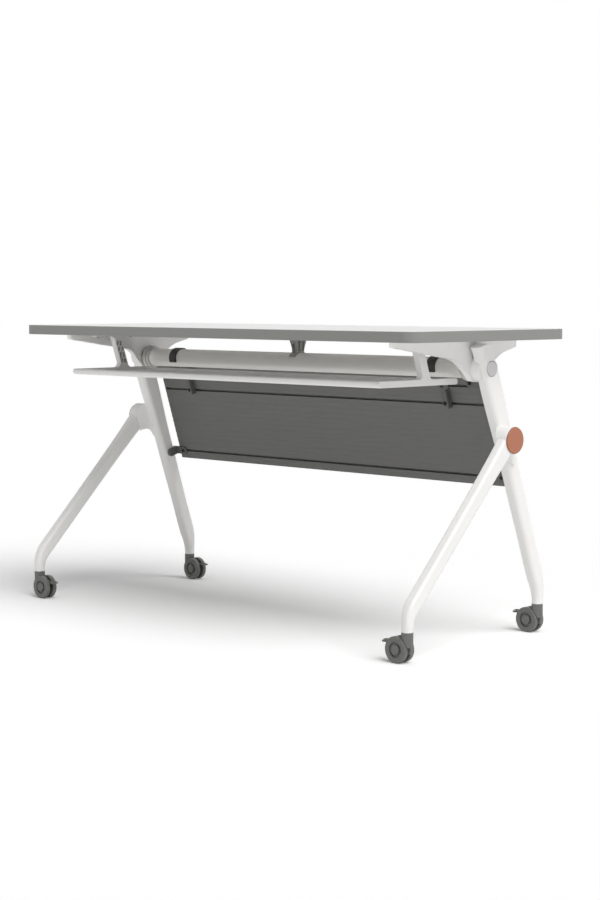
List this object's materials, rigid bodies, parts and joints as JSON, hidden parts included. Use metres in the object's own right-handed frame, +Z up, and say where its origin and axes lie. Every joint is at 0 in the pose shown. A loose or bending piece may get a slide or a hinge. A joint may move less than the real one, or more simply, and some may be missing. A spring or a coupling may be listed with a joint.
{
  "type": "flip-top training table",
  "caption": "Rolling training table whose top flips down about a crossbeam, with splayed legs, a book basket, a modesty panel and braked casters.",
  "frame": {"origin": "on the floor under the middle of the top", "axes": "+X along the top to the user's right, +Y away from the user, +Z up"},
  "size_m": [1.41, 0.57, 0.75],
  "materials": {
    "laminate": "pale matte laminate on particle board",
    "edging": "satin grey edging",
    "white_coat": "white powder coat on cast or extruded aluminium",
    "grey_coat": "satin grey powder coat on steel tube",
    "dark_coat": "dark grey powder coat on steel",
    "grey_plastic": "matte",
    "collar_plastic": "satin",
    "panel_plastic": "dark grey ribbed extrusion",
    "black_plastic": "matte",
    "caster_plastic": "satin mid grey",
    "copper_plastic": "satin copper orange",
    "silver": "satin silver",
    "steel": "zinc plated",
    "dark_steel": "black oxide"
  },
  "bodies": {
    "leg_frame": {"crossbeam": "grey_coat", "long_leg_left": "white_coat", "long_leg_right": "white_coat", "front_leg_left": "white_coat", "front_leg_right": "white_coat", "leg_bolt": "steel", "joint_cap_left": "copper_plastic", "joint_cap_right": "copper_plastic", "spring_seat": "black_plastic", "modesty_panel": "panel_plastic", "beam_hook_left": "black_plastic", "beam_hook_right": "black_plastic", "panel_hanger_left": "dark_coat", "panel_hanger_right": "dark_coat", "panel_bracket_upper_left": "dark_coat", "panel_bracket_upper_right": "dark_coat", "panel_bracket_lower_left": "dark_coat", "panel_bracket_lower_right": "dark_coat", "panel_screw": "dark_steel", "caster_stem": "steel", "lock_spring_left": "steel", "lock_spring_right": "steel"},
    "flip_top": {"table_top": "laminate", "edge_band": "edging", "flip_bracket_left": "white_coat", "flip_bracket_right": "white_coat", "hub_bush_left": "black_plastic", "hub_bush_right": "black_plastic", "mid_saddle": "grey_plastic", "basket_end_left": "white_coat", "basket_end_right": "white_coat", "basket_tray": "white_coat", "top_screw": "steel"},
    "release_left": {"release_button_left": "silver", "cross_pin_left": "steel", "lock_collar_left": "collar_plastic"},
    "release_right": {"release_button_right": "silver", "cross_pin_right": "steel", "lock_collar_right": "collar_plastic"},
    "caster_front_left": {"caster_housing_front_left": "caster_plastic", "caster_axle_front_left": "steel"},
    "wheel_near_front_left": {"wheel_near_front_left": "caster_plastic"},
    "wheel_far_front_left": {"wheel_far_front_left": "caster_plastic"},
    "brake_front_left": {"brake_pedal_front_left": "caster_plastic"},
    "caster_front_right": {"caster_housing_front_right": "caster_plastic", "caster_axle_front_right": "steel"},
    "wheel_near_front_right": {"wheel_near_front_right": "caster_plastic"},
    "wheel_far_front_right": {"wheel_far_front_right": "caster_plastic"},
    "brake_front_right": {"brake_pedal_front_right": "caster_plastic"},
    "caster_rear_left": {"caster_housing_rear_left": "caster_plastic", "caster_axle_rear_left": "steel"},
    "wheel_near_rear_left": {"wheel_near_rear_left": "caster_plastic"},
    "wheel_far_rear_left": {"wheel_far_rear_left": "caster_plastic"},
    "brake_rear_left": {"brake_pedal_rear_left": "caster_plastic"},
    "caster_rear_right": {"caster_housing_rear_right": "caster_plastic", "caster_axle_rear_right": "steel"},
    "wheel_near_rear_right": {"wheel_near_rear_right": "caster_plastic"},
    "wheel_far_rear_right": {"wheel_far_rear_right": "caster_plastic"},
    "brake_rear_right": {"brake_pedal_rear_right": "caster_plastic"}
  },
  "joints": [
    {"name": "top_flip", "type": "hinge", "parent": "leg_frame", "child": "flip_top", "pos_m": [0, 0.068, 0.657], "axis": [1, 0, 0], "range_deg": [0, 75]},
    {"name": "release_button_left", "type": "slide", "parent": "leg_frame", "child": "release_left", "axis": [1, 0, 0], "range_m": [0, 0.004], "stiffness_N_per_m": 1500, "deforming": ["lock_spring_left"]},
    {"name": "release_button_right", "type": "slide", "parent": "leg_frame", "child": "release_right", "axis": [-1, 0, 0], "range_m": [0, 0.004], "stiffness_N_per_m": 1500, "deforming": ["lock_spring_right"]},
    {"name": "swivel_front_left", "type": "hinge", "parent": "leg_frame", "child": "caster_front_left", "pos_m": [-0.675, -0.2645, 0.06], "axis": [0, 0, 1], "continuous": true},
    {"name": "roll_near_front_left", "type": "hinge", "parent": "caster_front_left", "child": "wheel_near_front_left", "pos_m": [-0.652, -0.2645, 0.031], "axis": [0, 1, 0], "continuous": true},
    {"name": "roll_far_front_left", "type": "hinge", "parent": "caster_front_left", "child": "wheel_far_front_left", "pos_m": [-0.652, -0.2645, 0.031], "axis": [0, 1, 0], "continuous": true},
    {"name": "brake_front_left", "type": "hinge", "parent": "caster_front_left", "child": "brake_front_left", "pos_m": [-0.64, -0.2645, 0.045], "axis": [0, 1, 0], "range_deg": [0, 15]},
    {"name": "swivel_front_right", "type": "hinge", "parent": "leg_frame", "child": "caster_front_right", "pos_m": [0.675, -0.2645, 0.06], "axis": [0, 0, 1], "continuous": true},
    {"name": "roll_near_front_right", "type": "hinge", "parent": "caster_front_right", "child": "wheel_near_front_right", "pos_m": [0.652, -0.2645, 0.031], "axis": [0, 1, 0], "continuous": true},
    {"name": "roll_far_front_right", "type": "hinge", "parent": "caster_front_right", "child": "wheel_far_front_right", "pos_m": [0.652, -0.2645, 0.031], "axis": [0, 1, 0], "continuous": true},
    {"name": "brake_front_right", "type": "hinge", "parent": "caster_front_right", "child": "brake_front_right", "pos_m": [0.64, -0.2645, 0.045], "axis": [0, -1, 0], "range_deg": [0, 15]},
    {"name": "swivel_rear_left", "type": "hinge", "parent": "leg_frame", "child": "caster_rear_left", "pos_m": [-0.64, 0.2605, 0.06], "axis": [0, 0, 1], "continuous": true},
    {"name": "roll_near_rear_left", "type": "hinge", "parent": "caster_rear_left", "child": "wheel_near_rear_left", "pos_m": [-0.617, 0.2605, 0.031], "axis": [0, 1, 0], "continuous": true},
    {"name": "roll_far_rear_left", "type": "hinge", "parent": "caster_rear_left", "child": "wheel_far_rear_left", "pos_m": [-0.617, 0.2605, 0.031], "axis": [0, 1, 0], "continuous": true},
    {"name": "brake_rear_left", "type": "hinge", "parent": "caster_rear_left", "child": "brake_rear_left", "pos_m": [-0.605, 0.2605, 0.045], "axis": [0, 1, 0], "range_deg": [0, 15]},
    {"name": "swivel_rear_right", "type": "hinge", "parent": "leg_frame", "child": "caster_rear_right", "pos_m": [0.64, 0.2605, 0.06], "axis": [0, 0, 1], "continuous": true},
    {"name": "roll_near_rear_right", "type": "hinge", "parent": "caster_rear_right", "child": "wheel_near_rear_right", "pos_m": [0.617, 0.2605, 0.031], "axis": [0, 1, 0], "continuous": true},
    {"name": "roll_far_rear_right", "type": "hinge", "parent": "caster_rear_right", "child": "wheel_far_rear_right", "pos_m": [0.617, 0.2605, 0.031], "axis": [0, 1, 0], "continuous": true},
    {"name": "brake_rear_right", "type": "hinge", "parent": "caster_rear_right", "child": "brake_rear_right", "pos_m": [0.605, 0.2605, 0.045], "axis": [0, -1, 0], "range_deg": [0, 15]}
  ]
}
